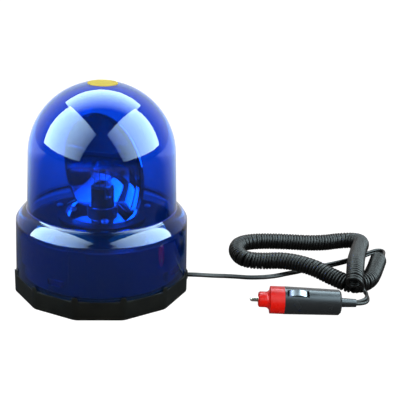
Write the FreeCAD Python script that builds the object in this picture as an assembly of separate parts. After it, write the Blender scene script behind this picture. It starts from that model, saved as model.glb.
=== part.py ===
import FreeCAD, Part

import math
import os

from FreeCAD import Vector

# Rotating beacon, 12 V, with a twelve-sided rubber boot, a magnet under it, a twist-off lens, a motor-driven
# reflector and a curly lead with a lighter-socket plug.  Millimetres.  The origin is the centre of the
# resting face, +Z up, -Y the front, and the lead leaves towards +X.

# ---- fits ----
GAP = 0.3            # clearance between mouldings that are dropped together
RUNNING = 0.05       # radial clearance of a shaft in its bearing
BACKLASH = 0.12      # play between gear teeth, along the pitch circle
SNUG = 0.02          # radial clearance of parts pressed on a shaft

# ---- rubber boot ----
BOOT_SIDES = 12
BOOT_CORNER_R = 70.0
BOOT_H = 18.6
BOOT_FLOOR = 3.0
BOOT_BEVEL = 0.8
RIM_SEAT_Z = 15.0    # ledge for the lens seal

# ---- magnet ----
MAGNET_R = 32.0
MAGNET_BASE_Z = 0.5
MAGNET_H = 9.0
MAGNET_WALL = 2.5
MAGNET_BORE_R = 10.0
MAGNET_RING_H = 5.5
MAGNET_SCREW_R = 2.5

# ---- housing ----
HOUSING_WALL = 2.5
PAN_STEP = 1.7       # pan outside the neck
LIP_REACH = 4.0      # drum outside the neck
LIP_Z = 28.0         # underside of the drum, which the lens lugs hook under
DRUM_PLAY = 0.6      # between the drum and the lens skirt
DECK_Z = 50.0        # underside of the deck
DECK_T = 2.0
POST_IN = 8.0        # deck screw posts inside the neck
POST_R = 4.0
POSTS = 4
DECK_SCREW_R = 1.5
DECK_SCREW_L = 10.0

# ---- lens ----
LENS_WALL = 2.4
RIM_IN = 2.0         # lens rim inside the boot's corners
RIM_STEP = 0.5
SKIRT_DRAFT = 0.5
SHOULDER_Z = 57.4    # where the skirt turns into the shoulder
SHOULDER_R = 8.0
LEDGE = 0.8          # flat between the shoulder and the dome
DOME_DRAFT = 1.5
DOME_Z = 107.9       # centre of the dome's sphere
DOME_FILLET = 1.5
SEAL_T = 1.2
LUGS = 4
LUG_FIRST_DEG = -30.0
LUG_W = 12.0
LUG_H = 4.0
LUG_REACH = 1.4      # hook of a lug under the lip
TWIST_DEG = 15.0     # turn that brings the lugs to their grooves
STICKER_R = 11.5
STICKER_T = 0.2

# ---- lamp post and lamp ----
TUBE_R = 9.0
TUBE_WALL = 1.25
TUBE_BORE_R = TUBE_R - TUBE_WALL
CAP_PLAY = 0.2       # lamp cap in the tube
TUBE_TOP_Z = 82.0
FLANGE_R = 17.5
FLANGE_T = 2.4
FLANGE_SCREW_PCR = 14.6
FLANGE_SCREW_R = 1.25
SPIGOT_L = 6.0
CAP_R = TUBE_BORE_R - CAP_PLAY
CAP_Z = 67.5
CAP_L = 16.5
PIN_ABOVE_CAP = 8.0
PIN_R = 1.0
LIGHT_Z = 94.5       # filament, and focus of the reflector
GLASS_R = 9.5
GLASS_WALL = 0.8
CONTACT_T = 2.0
INSULATOR_T = 2.0
LAMP_SPRING_WIRE = 0.9
LAMP_SPRING_TURNS = 5

# ---- turntable and reflector ----
TURNTABLE_R = 34.9
TURNTABLE_TOP_Z = 60.0
TURNTABLE_T = 1.6
HUB_R = 12.0
HUB_TOP_Z = 66.0
GEAR_RING_R = 30.0   # inside of the toothed ring
WASHER_T = 0.5
TURNTABLE_RIBS = 6
RIB_T = 1.2
RIB_H = 2.0
RING_CLIP_T = 0.9
REFLECTOR_PLATE_R = 28.5
REFLECTOR_PLATE_T = 1.8
REFLECTOR_R = 43.0
REFLECTOR_FOCUS = 20.0
REFLECTOR_WALL = 1.4
REFLECTOR_BEAD = 1.0
REFLECTOR_AHEAD = 1.0    # rim plane in front of the axis
REFLECTOR_SCREW_PCR = 23.4
REFLECTOR_SCREW_R = 1.5
REFLECTOR_TURN = -46.0   # rest direction, from the front towards -X
REFLECTOR_SCREW_DEG = (REFLECTOR_TURN - 38.0, REFLECTOR_TURN - 142.0)   # both in front of the bowl

# ---- gear train: motor pinion -> idler wheel, idler pinion -> turntable ----
PRESSURE_DEG = 20.0
SLOW_MODULE = 0.7
TURNTABLE_TEETH = 96
IDLER_PINION_TEETH = 12
FAST_MODULE = 0.5
IDLER_WHEEL_TEETH = 36
MOTOR_PINION_TEETH = 10
WHEEL_ADDENDUM = {SLOW_MODULE: 0.70, FAST_MODULE: 0.60}   # in modules, short so that the pinions clear
PINION_ADDENDUM = 1.1
TOOTH_ROOT_GAP = 0.2     # in modules
TRAIN_DEG = 125.0        # direction of the idler and the motor from the axis
FAST_W = 2.0
SLOW_W = 3.1
LEVEL_GAP = 0.5          # between the fast and the slow level
IDLER_BOSS_H = 0.6
IDLER_BOSS_R = 2.5
AXLE_R = 1.0
IDLER_CLIP_T = 0.5

# ---- motor ----
MOTOR_R = 12.2
MOTOR_L = 28.0
MOTOR_WALL = 1.0
MOTOR_SHAFT_R = 1.0
MOTOR_BOSS_R = 3.0
MOTOR_BOSS_H = 1.8
MOTOR_SCREW_OFFSET = 8.0
MOTOR_SCREW_R = 1.25
MOTOR_CAP_T = 2.5
MOTOR_MAGNET_T = 1.7
ARMATURE_L = 15.0
ARMATURE_GAP = 0.6
COMMUTATOR_R = 2.6
COMMUTATOR_L = 3.5
TERMINAL_L = 5.0

# ---- lead: where it leaves, and its route along the ground, chosen by hand ----
LEAD_R = 2.0
COIL_R = 7.25
EXIT_Z = 6.4
GROMMET_R = 3.6
GROMMET_FLANGE = 1.0
GROMMET_STICKS_OUT = 1.6
TERMINAL_BLOCK = (9.0, 15.0, 9.0)
TERMINAL_SCREW_R = 1.8
GROUND_GAP = 0.05        # the tubes' height above the ground
COIL_ABOVE_LEAD = 1.5
COIL_ABOVE_COIL = 1.5

# ---- plug, along its own axis from the tip ----
PLUG_PLACE = (113.3, -53.3)
PLUG_TURN = -4.8
PLUG_R = 10.6
PLUG_REAR_R = 9.7
PLUG_WALL = 1.8
PIN_TIP_R = 1.9
PIN_SHOWS = 6.5
PIN_HEAD_R = 3.1
PIN_HEAD_L = 1.5
NOSE_R = 6.0
NOSE_L = 6.0
FLARE_L = 2.8
COLLAR_R = 10.5
COLLAR_L = 10.7
NOSE_WALL = 1.6
SHELL_L = 43.0
SHELL_BEVEL = 1.5
FUSE_R = 3.1
FUSE_L = 30.0
FUSE_CAP_L = 6.0
PLUG_SPRING_WIRE = 0.7
PLUG_SPRING_TURNS = 4
PLUG_SPRING_L = 9.0
RELIEF_R = 3.6
RELIEF_L = 12.0
SIDE_SPRING_W = 5.0
SIDE_SPRING_L = 16.0
SIDE_SPRING_T = 0.6
SIDE_SPRING_PROUD = 1.2
SIDE_SPRING_DEEP = 3.0
SIDE_SPRING_Z_DEG = 58.0     # tilt of the pair of side contacts above the horizontal
SIDE_SPRING_AT = 2.0         # from the collar

# ---- heights and centres that follow ----
SCREW_HEAD = 1.9         # head radius over shank radius
DECK_TOP_Z = DECK_Z + DECK_T
FAST_Z = DECK_TOP_Z + IDLER_BOSS_H + LEVEL_GAP / 2
SLOW_Z = FAST_Z + FAST_W + LEVEL_GAP
HUB_BASE_Z = DECK_TOP_Z + FLANGE_T + WASHER_T + LEVEL_GAP / 5
SLOW_CENTRES = SLOW_MODULE * (TURNTABLE_TEETH + IDLER_PINION_TEETH) / 2
FAST_CENTRES = FAST_MODULE * (IDLER_WHEEL_TEETH + MOTOR_PINION_TEETH) / 2
MOTOR_AT = SLOW_CENTRES - FAST_CENTRES
PLATE_TOP_Z = TURNTABLE_TOP_Z + REFLECTOR_PLATE_T
POCKET_R = MAGNET_R + GAP
POCKET_Z = MAGNET_BASE_Z + MAGNET_H
POCKET_TOP_Z = POCKET_Z + HOUSING_WALL
BOOT_FLAT_R = BOOT_CORNER_R * math.cos(math.pi / BOOT_SIDES)
RIM_R = BOOT_CORNER_R - RIM_IN
SKIRT_LOW_R = RIM_R - RIM_STEP
SKIRT_TOP_R = SKIRT_LOW_R - SKIRT_DRAFT
DOME_LOW_R = SKIRT_TOP_R - SHOULDER_R - LEDGE
DOME_R = DOME_LOW_R - DOME_DRAFT
DRUM_R = SKIRT_TOP_R - LENS_WALL - DRUM_PLAY
NECK_R = DRUM_R - LIP_REACH
PAN_R = NECK_R + PAN_STEP
POST_PCR = NECK_R - POST_IN
LEAD_IN_X = PAN_R - 3 * HOUSING_WALL   # where the lead meets the terminal block
DRUM_BORE_R = DRUM_R - HOUSING_WALL
SEAL_IN_R = PAN_R + 2 * GAP
SEAL_OUT_R = SKIRT_LOW_R - LENS_WALL / 2
LENS_BASE_Z = RIM_SEAT_Z + GAP
SIDE_SPRING_TILT = math.radians(SIDE_SPRING_Z_DEG)
PLUG_AXIS_Z = (GROUND_GAP + (PLUG_R + SIDE_SPRING_PROUD) * math.sin(SIDE_SPRING_TILT)
               + SIDE_SPRING_W / 2 * math.cos(SIDE_SPRING_TILT))
X, Y, Z = Vector(1, 0, 0), Vector(0, 1, 0), Vector(0, 0, 1)

parts = {}


# ---- small tools ----
def face_in(plane, start, *steps):
    """Face from corners in a plane. A step is a corner, or a pair (through, corner) reached by an arc."""
    here, edges = plane(*start), []
    for step in steps + (start,):
        if isinstance(step[0], tuple):
            through, end = plane(*step[0]), plane(*step[1])
            edges.append(Part.Arc(here, through, end).toShape())
        elif (plane(*step) - here).Length > 1e-6:
            end = plane(*step)
            edges.append(Part.makeLine(here, end))
        here = end
    return Part.Face(Part.Wire(edges))


def upright(r, z):
    return Vector(r, 0, z)


def flat(x, y):
    return Vector(x, y, 0)


def turned(*outline):
    """Solid of revolution about Z from an outline of radius and height."""
    return face_in(upright, *outline).revolve(Vector(), Z, 360)


def rod(r, z0, z1, x=0.0, y=0.0):
    return Part.makeCylinder(r, z1 - z0, Vector(x, y, z0))


def ring(r_out, r_in, z0, z1, x=0.0, y=0.0):
    return rod(r_out, z0, z1, x, y).cut(rod(r_in, z0 - 1, z1 + 1, x, y))


def block(x0, x1, y0, y1, z0, z1):
    return Part.makeBox(x1 - x0, y1 - y0, z1 - z0, Vector(x0, y0, z0))


def about_z(shape, degrees, centre=Vector()):
    return shape.rotated(centre, Z, degrees)


def around(shape, count, first=0.0):
    """Copies of a shape evenly round the Z axis."""
    return [about_z(shape, first + 360.0 * k / count) for k in range(count)]


def polar(r, degrees, z=0.0):
    return Vector(r * math.cos(math.radians(degrees)), r * math.sin(math.radians(degrees)), z)


def arc_middle(x, y, r, degrees):
    """Point of a circle in a profile plane."""
    return (x + r * math.cos(math.radians(degrees)), y + r * math.sin(math.radians(degrees)))


def pan_screw(r, z_seat, length, x, y):
    """Screw with a domed head on a seat, its shank downwards."""
    head_r, head_h = r * SCREW_HEAD, r * 1.1
    head = turned((0, z_seat), (head_r, z_seat), (head_r, z_seat + head_h * 0.5),
                  ((head_r * 0.75, z_seat + head_h * 0.9), (0, z_seat + head_h)))
    head = head.cut(block(-head_r, head_r, -r * 0.2, r * 0.2, z_seat + head_h * 0.6, z_seat + head_h + 1))
    screw = head.fuse(rod(r, z_seat - length, z_seat))
    return screw.translated(Vector(x, y, 0))


def tangent_path(points):
    """Straight runs joined by tangent arcs, as large as the runs allow; the wire, its length, the radii."""
    points = [Vector(*p) for p in points]
    edges, radii, here = [], [], points[0]
    for before, corner, after in zip(points, points[1:], points[2:]):
        back, ahead = (before - corner), (after - corner)
        cut = 0.45 * min(back.Length, ahead.Length)
        back.normalize()
        ahead.normalize()
        half_turn = (math.pi - back.getAngle(ahead)) / 2
        radius = cut / math.tan(half_turn)
        start, end = corner + back * cut, corner + ahead * cut
        inward = (back + ahead).normalize()
        middle = corner + inward * (radius / math.cos(half_turn) - radius)
        edges += [Part.LineSegment(here, start).toShape(), Part.Arc(start, middle, end).toShape()]
        radii.append(radius)
        here = end
    edges.append(Part.LineSegment(here, points[-1]).toShape())
    wire = Part.Wire(edges)
    return wire, wire.Length, radii


def tube(name, points, radius):
    """Solid tube along a tangent path, with its radii and volume printed for the check of the bends."""
    wire, length, radii = tangent_path(points)
    first = Vector(*points[1]) - Vector(*points[0])
    section = Part.Wire(Part.makeCircle(radius, Vector(*points[0]), first))
    solid = wire.makePipeShell([section], True, False)
    share = solid.Volume / (math.pi * radius ** 2 * length)
    print(f"{name}: length {length:.1f}, volume share {share:.4f}, radii", [round(r, 1) for r in radii])
    return solid


def coil_spring(radius, wire, z0, z1, turns):
    """Helical spring of six-sided wire, bent in flats round the Z axis."""
    steps, sides = 8, 6
    pitch = (z1 - z0 - wire) / turns
    low = z0 + wire / 2
    points = [polar(radius, 360.0 * k / steps, low + pitch * k / steps) for k in range(steps * turns + 1)]
    ahead = points[1] - points[0]
    across = ahead.cross(Z).normalize()
    over = ahead.cross(across).normalize()
    corners = [points[0] + across * (wire / 2 * math.cos(2 * math.pi * k / sides))
               + over * (wire / 2 * math.sin(2 * math.pi * k / sides)) for k in range(sides)]
    section = Part.makePolygon(corners + corners[:1])
    return Part.makePolygon(points).makePipeShell([section], True, False, 1)


# ---- gears ----
def involute(angle):
    return math.tan(angle) - angle


def gear_face(teeth, module, addendum, mate_addendum):
    """Spur gear outline with involute flanks, its first tooth on +X. Addenda are in modules."""
    pitch_r = module * teeth / 2
    base_r = pitch_r * math.cos(math.radians(PRESSURE_DEG))
    tip_r = pitch_r + module * addendum
    root_r = pitch_r - module * (mate_addendum + TOOTH_ROOT_GAP)
    start_r = max(root_r, base_r)
    at_pitch = (math.pi * module / 2 - BACKLASH / 2) / (2 * pitch_r)

    def half_angle(r):
        turn = involute(math.radians(PRESSURE_DEG)) - involute(math.acos(min(1.0, base_r / r)))
        return math.degrees(at_pitch + turn)

    radii = [start_r, (start_r + tip_r) / 2, tip_r]
    edges, first = [], polar(root_r, -half_angle(start_r))
    here = first
    for k in range(teeth):
        middle = 360.0 * k / teeth
        rising = [polar(r, middle - half_angle(r)) for r in radii]
        falling = [polar(r, middle + half_angle(r)) for r in reversed(radii)]
        root_ahead = polar(root_r, middle + half_angle(start_r))
        if root_r < start_r:
            edges.append(Part.makeLine(here, rising[0]))
        edges.append(Part.Arc(*rising).toShape())
        edges.append(Part.makeLine(rising[2], falling[0]))
        edges.append(Part.Arc(*falling).toShape())
        if root_r < start_r:
            edges.append(Part.makeLine(falling[2], root_ahead))
        here = polar(root_r, middle + 360.0 / teeth - half_angle(start_r)) if k < teeth - 1 else first
        edges.append(Part.makeLine(root_ahead, here))
    return Part.Face(Part.Wire(edges))


def gear(teeth, module, addendum, mate_addendum, z0, width, phase):
    face = about_z(gear_face(teeth, module, addendum, mate_addendum), phase)
    return face.translated(Vector(0, 0, z0)).extrude(Vector(0, 0, width))


# ---- base ----
def rubber_boot():
    corners = [polar(BOOT_CORNER_R, 360.0 * (k + 0.5) / BOOT_SIDES) for k in range(BOOT_SIDES)]
    block_12 = Part.Face(Part.makePolygon(corners + corners[:1])).extrude(Vector(0, 0, BOOT_H))
    low = [e for e in block_12.Edges if e.BoundBox.ZMax < GAP]
    block_12 = block_12.makeChamfer(BOOT_BEVEL, low)
    boot = block_12.cut(rod(POCKET_R + GAP, -1, BOOT_FLOOR + 1))
    boot = boot.cut(rod(PAN_R + GAP, BOOT_FLOOR, BOOT_H + 1))
    boot = boot.cut(rod(RIM_R + GAP, RIM_SEAT_Z, BOOT_H + 1))
    hole = Part.makeCylinder(GROMMET_R + SNUG, BOOT_CORNER_R, Vector(0, 0, EXIT_Z), X)
    return boot.cut(hole)


def magnet():
    top = MAGNET_BASE_Z + MAGNET_H
    cup = rod(MAGNET_R, MAGNET_BASE_Z, top)
    cup = cup.cut(rod(MAGNET_R - MAGNET_WALL, MAGNET_BASE_Z - 1, MAGNET_BASE_Z + MAGNET_RING_H + GAP))
    parts["magnet_cup"] = cup.cut(rod(MAGNET_SCREW_R + GAP, 0, top + 1))
    parts["ring_magnet"] = ring(MAGNET_R - MAGNET_WALL - GAP, MAGNET_BORE_R,
                                MAGNET_BASE_Z, MAGNET_BASE_Z + MAGNET_RING_H + GAP)
    seat = MAGNET_BASE_Z + MAGNET_RING_H + GAP
    grip = MAGNET_H - MAGNET_RING_H + 2 * (HOUSING_WALL - GAP)
    screw = pan_screw(MAGNET_SCREW_R, 0, grip, 0, 0).rotated(Vector(), X, 180)
    parts["magnet_screw"] = screw.translated(Vector(0, 0, seat))


def base_housing():
    boss_top = MAGNET_BASE_Z + MAGNET_H + 3 * HOUSING_WALL
    shell = turned((POCKET_R, BOOT_FLOOR), (PAN_R, BOOT_FLOOR), (PAN_R, RIM_SEAT_Z), (NECK_R, RIM_SEAT_Z),
                   (NECK_R, LIP_Z), (DRUM_R, LIP_Z), (DRUM_R, DECK_TOP_Z), (DRUM_BORE_R, DECK_TOP_Z),
                   (DRUM_BORE_R, LIP_Z + HOUSING_WALL), (NECK_R - HOUSING_WALL, LIP_Z + HOUSING_WALL),
                   (NECK_R - HOUSING_WALL, BOOT_FLOOR + HOUSING_WALL),
                   (POCKET_R + HOUSING_WALL, BOOT_FLOOR + HOUSING_WALL),
                   (POCKET_R + HOUSING_WALL, POCKET_TOP_Z), (0, POCKET_TOP_Z),
                   (0, POCKET_Z), (POCKET_R, POCKET_Z))
    posts = around(rod(POST_R, BOOT_FLOOR, DECK_Z, POST_PCR), POSTS, 180.0 / POSTS)
    stop_in = NECK_R - HOUSING_WALL / 2
    lug_back = math.degrees(math.asin((LUG_W / 2 + GAP) / NECK_R))
    stop = block(stop_in, DRUM_R - GAP, -HOUSING_WALL, 0, RIM_SEAT_Z + LUG_H, LIP_Z + HOUSING_WALL / 2)
    stops = around(stop, LUGS, LUG_FIRST_DEG - lug_back)
    housing = shell.fuse(posts + stops + [rod(2 * MAGNET_SCREW_R, POCKET_Z, boss_top)])
    housing = housing.cut(rod(MAGNET_SCREW_R + SNUG, POCKET_Z - 1, POCKET_Z + HOUSING_WALL * 2))
    groove = block(DRUM_R - LUG_REACH - GAP, DRUM_R + 1, -LUG_W / 2 - 2 * GAP, LUG_W / 2 + 2 * GAP,
                   LIP_Z - 1, DECK_TOP_Z + 1)
    grooves = around(groove, LUGS, LUG_FIRST_DEG + TWIST_DEG)
    bore = rod(DECK_SCREW_R + SNUG, DECK_Z - DECK_SCREW_L, DECK_Z + 1, POST_PCR)
    bores = around(bore, POSTS, 180.0 / POSTS)
    entry = Part.makeCylinder(GROMMET_R + SNUG, PAN_R + 1 - LEAD_IN_X, Vector(LEAD_IN_X, 0, EXIT_Z), X)
    return housing.cut(grooves + bores + [entry])


def deck_plate():
    deck = rod(DRUM_BORE_R - GAP, DECK_Z, DECK_TOP_Z)
    train = rod(IDLER_BOSS_R, DECK_Z, DECK_TOP_Z + IDLER_BOSS_H, SLOW_CENTRES)
    shaft_hole = rod(MOTOR_BOSS_R + GAP, DECK_Z - 1, DECK_TOP_Z + 1, MOTOR_AT)
    motor_holes = [rod(MOTOR_SCREW_R + GAP, DECK_Z - 1, DECK_TOP_Z + 1, MOTOR_AT, side * MOTOR_SCREW_OFFSET)
                   for side in (-1, 1)]
    deck = deck.fuse(about_z(train, TRAIN_DEG))
    cuts = [about_z(hole, TRAIN_DEG) for hole in [shaft_hole] + motor_holes]
    cuts.append(about_z(rod(AXLE_R + SNUG, DECK_Z - 1, FAST_Z, SLOW_CENTRES), TRAIN_DEG))
    cuts += around(rod(DECK_SCREW_R + GAP, DECK_Z - 1, DECK_TOP_Z + 1, POST_PCR), POSTS, 180.0 / POSTS)
    cuts += flange_holes(DECK_Z - 1, DECK_TOP_Z + 1)
    cuts.append(rod(TUBE_R + SNUG, DECK_Z - 1, DECK_TOP_Z + 1))
    return deck.cut(cuts)


def flange_holes(z0, z1):
    first = TRAIN_DEG + 90
    return around(rod(FLANGE_SCREW_R + SNUG, z0, z1, FLANGE_SCREW_PCR), 2, first)


def screws_round(radius, z_seat, length, pcr, count, first):
    screws = around(pan_screw(radius, z_seat, length, pcr, 0), count, first)
    return Part.makeCompound(screws)


# ---- lens ----
def lens_profile(inset):
    """Skirt, shoulder, fillet and dome of the lens as profile steps, moved in by a wall thickness."""
    shoulder_x = SKIRT_TOP_R - SHOULDER_R
    shoulder_r = SHOULDER_R - inset
    top_z = SHOULDER_Z + shoulder_r
    fillet = DOME_FILLET + inset
    wall_r = DOME_LOW_R - inset
    fillet_x, fillet_z = wall_r + fillet, top_z + fillet
    dome_r = DOME_R - inset
    return [(SKIRT_TOP_R - inset, SHOULDER_Z),
            (arc_middle(shoulder_x, SHOULDER_Z, shoulder_r, 45), (shoulder_x, top_z)),
            (fillet_x, top_z),
            (arc_middle(fillet_x, fillet_z, fillet, 225), (wall_r, fillet_z)),
            (dome_r, DOME_Z),
            (arc_middle(0, DOME_Z, dome_r, 45), (0, DOME_Z + dome_r))]


def signal_lens():
    seat_z = RIM_SEAT_Z + SEAL_T
    outer = [(RIM_R, LENS_BASE_Z), (RIM_R, BOOT_H), (SKIRT_LOW_R, BOOT_H)] + lens_profile(0)
    solid = turned((0, LENS_BASE_Z), *outer)
    mouth = (SKIRT_LOW_R - LENS_WALL, LENS_BASE_Z - 1)
    hollow = turned((0, LENS_BASE_Z - 1), mouth, *lens_profile(LENS_WALL))
    rebate = rod(SEAL_OUT_R + GAP, LENS_BASE_Z - 1, seat_z + SNUG)
    lens = solid.cut([hollow, rebate])
    lug_in = DRUM_R - LUG_REACH
    lug_top = LIP_Z - GAP
    lug = block(lug_in, SKIRT_LOW_R - LENS_WALL / 2, -LUG_W / 2, LUG_W / 2, lug_top - LUG_H, lug_top)
    lug = lug.cut(rod(lug_in, 0, LIP_Z))
    return lens.fuse(around(lug, LUGS, LUG_FIRST_DEG))


def dome_sticker():
    """Thin round label that follows the top of the dome."""
    inner, outer = DOME_R + SNUG, DOME_R + SNUG + STICKER_T
    top = 90.0
    rim = top - math.degrees(math.asin(STICKER_R / outer))
    between = (top + rim) / 2
    start, edge = arc_middle(0, DOME_Z, inner, rim), arc_middle(0, DOME_Z, outer, rim)
    return turned((0, DOME_Z + inner), (arc_middle(0, DOME_Z, inner, between), start), edge,
                  (arc_middle(0, DOME_Z, outer, between), (0, DOME_Z + outer)))


# ---- lamp ----
def lamp_post():
    spigot_z = DECK_TOP_Z - SPIGOT_L
    post = rod(TUBE_R, spigot_z, TUBE_TOP_Z).fuse(rod(FLANGE_R, DECK_TOP_Z, DECK_TOP_Z + FLANGE_T))
    post = post.cut(rod(TUBE_BORE_R, spigot_z + HOUSING_WALL, TUBE_TOP_Z + 1))
    pin_z = CAP_Z + PIN_ABOVE_CAP
    slot_r = PIN_R + GAP
    down = block(0, TUBE_R + 1, -slot_r, slot_r, pin_z - slot_r, TUBE_TOP_Z + 1)
    catch = [about_z(Part.makeCylinder(slot_r, TUBE_R + 1, Vector(0, 0, pin_z), X), turn)
             for turn in (0, 8, 16, 24)]
    slot = down.fuse(catch)
    groove_top = HUB_TOP_Z + RING_CLIP_T + LEVEL_GAP / 2
    groove = ring(TUBE_R + 1, TUBE_R - RUNNING * 8, HUB_TOP_Z + LEVEL_GAP / 5, groove_top)
    wire_hole = rod(HOUSING_WALL / 2, spigot_z - 1, DECK_TOP_Z)
    slots = around(slot, 2, REFLECTOR_TURN - 24)
    return post.cut(slots + [groove, wire_hole] + flange_holes(DECK_Z, DECK_TOP_Z + FLANGE_T + 1))


def lamp():
    cap_top = CAP_Z + CAP_L
    pin_z = CAP_Z + PIN_ABOVE_CAP
    cap = turned((0, CAP_Z), (CAP_R - 1, CAP_Z), (CAP_R, CAP_Z + 1), (CAP_R, cap_top),
                 (CAP_R - GLASS_WALL, cap_top), (CAP_R - GLASS_WALL, cap_top - 2), (0, cap_top - 2))
    pins = around(Part.makeCylinder(PIN_R, CAP_R + 1, Vector(0, 0, pin_z), X), 2, REFLECTOR_TURN)
    contact = rod(CAP_R / 3, CAP_Z - 1, CAP_Z)
    parts["lamp_cap"] = cap.fuse(pins + [contact])
    foot_r = CAP_R - GLASS_WALL - SNUG
    foot_z = cap_top - 2
    meet_z = LIGHT_Z - math.sqrt(GLASS_R ** 2 - foot_r ** 2)
    side = (GLASS_R, LIGHT_Z)
    outer = turned((0, foot_z), (foot_r, foot_z), (foot_r, meet_z), (side, (0, LIGHT_Z + GLASS_R)))
    inner_r = GLASS_R - GLASS_WALL
    in_foot = foot_r - GLASS_WALL
    in_meet = LIGHT_Z - math.sqrt(inner_r ** 2 - in_foot ** 2)
    inner = turned((0, foot_z + GLASS_WALL), (in_foot, foot_z + GLASS_WALL), (in_foot, in_meet),
                   ((inner_r, LIGHT_Z), (0, LIGHT_Z + inner_r)))
    parts["lamp_glass"] = outer.cut(inner)
    stand = GLASS_R / 3
    base_z = foot_z + GLASS_WALL
    wires = [rod(0.3, base_z, LIGHT_Z, 0, side * stand) for side in (-1, 1)]
    coil = Part.makeCylinder(0.5, 2 * stand, Vector(0, -stand, LIGHT_Z), Y)
    parts["lamp_filament"] = about_z(coil.fuse(wires), REFLECTOR_TURN)


def lamp_contact():
    """Sprung centre contact under the lamp, in the tube."""
    floor_z = DECK_TOP_Z - SPIGOT_L + HOUSING_WALL
    top_z = CAP_Z - 1
    disc_z = top_z - CONTACT_T / 2 - INSULATOR_T
    disc = rod(TUBE_BORE_R - GAP, disc_z, disc_z + INSULATOR_T)
    parts["contact_disc"] = disc.cut(rod(CAP_R / 3 - CONTACT_T / 2 + SNUG, disc_z - 1, top_z))
    button = rod(CAP_R / 3, disc_z + INSULATOR_T, top_z)
    tail = rod(CAP_R / 3 - CONTACT_T / 2, disc_z - CONTACT_T, disc_z + INSULATOR_T)
    parts["centre_contact"] = button.fuse(tail)
    spring_r = TUBE_BORE_R - 2 * LAMP_SPRING_WIRE
    parts["contact_spring"] = coil_spring(spring_r, LAMP_SPRING_WIRE, floor_z, disc_z, LAMP_SPRING_TURNS)


# ---- turntable ----
def by_reflector_screws(shape):
    return [about_z(shape, turn) for turn in REFLECTOR_SCREW_DEG]


def turntable_gear():
    web_z = TURNTABLE_TOP_Z - TURNTABLE_T
    teeth = gear(TURNTABLE_TEETH, SLOW_MODULE, WHEEL_ADDENDUM[SLOW_MODULE], PINION_ADDENDUM,
                 SLOW_Z, web_z - SLOW_Z, TRAIN_DEG)
    toothed = teeth.cut(rod(GEAR_RING_R, SLOW_Z - 1, web_z + 1))
    disc = rod(TURNTABLE_R, web_z, TURNTABLE_TOP_Z)
    hub = rod(HUB_R, HUB_BASE_Z, HUB_TOP_Z)
    rib = block(HUB_R - 1, GEAR_RING_R + 1, -RIB_T / 2, RIB_T / 2, web_z - RIB_H, web_z)
    wheel = disc.fuse([toothed, hub] + around(rib, TURNTABLE_RIBS, REFLECTOR_TURN + 180.0 / TURNTABLE_RIBS))
    bosses = by_reflector_screws(rod(2 * REFLECTOR_SCREW_R, web_z - RIB_H, web_z, REFLECTOR_SCREW_PCR))
    hole = rod(REFLECTOR_SCREW_R + SNUG, web_z - RIB_H - 1, TURNTABLE_TOP_Z + 1, REFLECTOR_SCREW_PCR)
    bores = by_reflector_screws(hole) + [rod(TUBE_R + RUNNING, HUB_BASE_Z - 1, HUB_TOP_Z + 1)]
    return wheel.fuse(bosses).cut(bores)


def parabola(shift, r):
    """Parabola edge from its apex out to a radius, opening along +X, its apex moved along X."""
    curve = Part.BezierCurve()
    curve.setPoles([flat(shift, 0), flat(shift, r / 2), flat(shift + r ** 2 / (4 * REFLECTOR_FOCUS), r)])
    return curve.toShape()


def reflector():
    """Paraboloid bowl with a rim bead, cut off level at the bottom where it stands on its round plate."""
    four_f = 4 * REFLECTOR_FOCUS
    deep = REFLECTOR_R ** 2 / four_f
    bead_r = math.sqrt(four_f * (deep + REFLECTOR_WALL)) + REFLECTOR_BEAD
    back = deep - REFLECTOR_BEAD
    back_r = math.sqrt(four_f * (back + REFLECTOR_WALL))
    corners = [flat(deep, REFLECTOR_R), flat(deep, bead_r), flat(back, bead_r), flat(back, back_r)]
    rim = [Part.makeLine(*pair) for pair in zip(corners, corners[1:])]
    apex = Part.makeLine(flat(-REFLECTOR_WALL, 0), flat(0, 0))
    section = Part.Wire([parabola(0, REFLECTOR_R)] + rim + [parabola(-REFLECTOR_WALL, back_r), apex])
    bowl = Part.Face(section).revolve(Vector(), X, 360).rotated(Vector(), Z, -90)
    bowl = bowl.translated(Vector(0, deep - REFLECTOR_AHEAD, LIGHT_Z))
    bowl = bowl.cut(block(-2 * bead_r, 2 * bead_r, -2 * bead_r, 2 * bead_r, 0, TURNTABLE_TOP_Z))
    whole = bowl.fuse(rod(REFLECTOR_PLATE_R, TURNTABLE_TOP_Z, PLATE_TOP_Z))
    whole = whole.cut(rod(HUB_R + GAP, TURNTABLE_TOP_Z - 1, HUB_TOP_Z + HUB_R))
    hole = rod(REFLECTOR_SCREW_R + GAP, TURNTABLE_TOP_Z - 1, PLATE_TOP_Z + 1, REFLECTOR_SCREW_PCR)
    return about_z(whole, REFLECTOR_TURN).cut(by_reflector_screws(hole))


def ring_clip():
    """Spring ring in the post's groove, which keeps the turntable down."""
    z0 = HUB_TOP_Z + LEVEL_GAP / 5 + SNUG
    clip = ring(TUBE_R + 2 * RING_CLIP_T, TUBE_R - RUNNING * 6, z0, z0 + RING_CLIP_T)
    opening = block(0, 2 * TUBE_R, -RING_CLIP_T, RING_CLIP_T, z0 - 1, z0 + 2)
    return about_z(clip.cut(opening), REFLECTOR_TURN - 90)


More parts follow.
